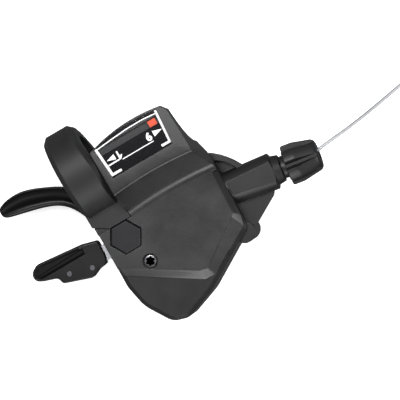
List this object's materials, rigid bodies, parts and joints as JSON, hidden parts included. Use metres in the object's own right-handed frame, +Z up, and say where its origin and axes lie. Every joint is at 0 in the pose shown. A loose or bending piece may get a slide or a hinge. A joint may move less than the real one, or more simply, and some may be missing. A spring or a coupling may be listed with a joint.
{
  "type": "trigger gear shifter",
  "caption": "Trigger gear shifter with a handlebar clamp, gear display window, thumb lever, finger trigger, barrel adjuster and inner wire.",
  "frame": {"origin": "centre of the clamp's handlebar bore, half way across the band", "axes": "+X along the bar towards the cable outlet, +Y towards the rider, +Z up, out of the main face"},
  "size_m": [0.1812, 0.0806, 0.0425],
  "materials": {
    "shell_plastic": "fine moulded texture, black",
    "cap_plastic": "smooth satin, blue black",
    "lever_plastic": "semi-gloss, black",
    "adjuster_plastic": "semi-gloss, black",
    "clear_plastic": "clear, smoke tinted",
    "scale_plastic": "printed, black",
    "marker_red": "orange red",
    "spool_plastic": "natural, smooth",
    "steel": "zinc plated",
    "dark_steel": "black oxide",
    "wire_steel": "stranded, drawn",
    "tie_plastic": "black",
    "crimp_aluminium": "plain"
  },
  "bodies": {
    "pod": {"clamp_band": "shell_plastic", "clamp_bolt": "steel", "clamp_nut": "steel", "hex_cap": "cap_plastic", "top_cover": "shell_plastic", "window_lens": "clear_plastic", "scale_plate": "scale_plastic", "cover_screw": "dark_steel", "base_housing": "shell_plastic", "bottom_cover": "shell_plastic", "bottom_screws": "dark_steel", "main_axle": "steel", "axle_nut": "steel", "top_washer": "steel", "upper_spacer": "steel", "lower_spacer": "steel", "holding_pawl_pin": "steel", "trigger_spring": "steel", "thumb_spring": "steel", "cable_inner": "wire_steel", "cable_free": "wire_steel", "cable_coil": "wire_steel", "coil_tie": "tie_plastic", "cable_tail": "wire_steel", "cable_end_cap": "crimp_aluminium"},
    "spool": {"cable_spool": "spool_plastic", "ratchet_plate": "steel", "spool_rivets": "steel", "cable_head": "wire_steel"},
    "needle": {"needle": "marker_red"},
    "thumb_lever": {"thumb_arm": "dark_steel", "thumb_blade": "lever_plastic", "drive_pawl_pin": "steel"},
    "trigger": {"trigger_arm": "steel", "trigger_paddle": "lever_plastic", "paddle_rivets": "dark_steel"},
    "drive_pawl": {"drive_pawl": "steel"},
    "holding_pawl": {"holding_pawl": "steel"},
    "adjuster": {"barrel_adjuster": "adjuster_plastic"}
  },
  "joints": [
    {"name": "spool_turn", "type": "hinge", "parent": "pod", "child": "spool", "pos_m": [0.02102, -0.03949, -0.0063], "axis": [0, 0, 1], "range_deg": [0, 106.67]},
    {"name": "needle_slide", "type": "slide", "parent": "pod", "child": "needle", "axis": [-1, 0, 0], "range_m": [0, 0.019]},
    {"name": "thumb_push", "type": "hinge", "parent": "pod", "child": "thumb_lever", "pos_m": [0.02102, -0.03949, -0.02], "axis": [0, 0, 1], "range_deg": [0, 40], "stiffness_Nm_per_rad": 0.3, "springref_deg": -14.32},
    {"name": "trigger_pull", "type": "hinge", "parent": "pod", "child": "trigger", "pos_m": [0.02102, -0.03949, -0.0135], "axis": [0, 0, -1], "range_deg": [0, 12], "stiffness_Nm_per_rad": 0.4, "springref_deg": -8.59},
    {"name": "drive_pawl_swing", "type": "hinge", "parent": "thumb_lever", "child": "drive_pawl", "pos_m": [0.00777, -0.04714, -0.0103], "axis": [0, 0, -1], "range_deg": [0, 10], "stiffness_Nm_per_rad": 0.002, "springref_deg": -11.46},
    {"name": "holding_pawl_swing", "type": "hinge", "parent": "pod", "child": "holding_pawl", "pos_m": [0.03626, -0.03816, -0.0103], "axis": [0, 0, -1], "range_deg": [0, 10], "stiffness_Nm_per_rad": 0.002, "springref_deg": -11.46},
    {"name": "adjuster_turn", "type": "hinge", "parent": "pod", "child": "adjuster", "pos_m": [0.06334, -0.03521, -0.0063], "axis": [0.9877, -0.1564, 0], "continuous": true}
  ],
  "couplings": [
    {"joint": "needle_slide", "follows": "spool_turn", "m_per_rad": 0.009668}
  ]
}
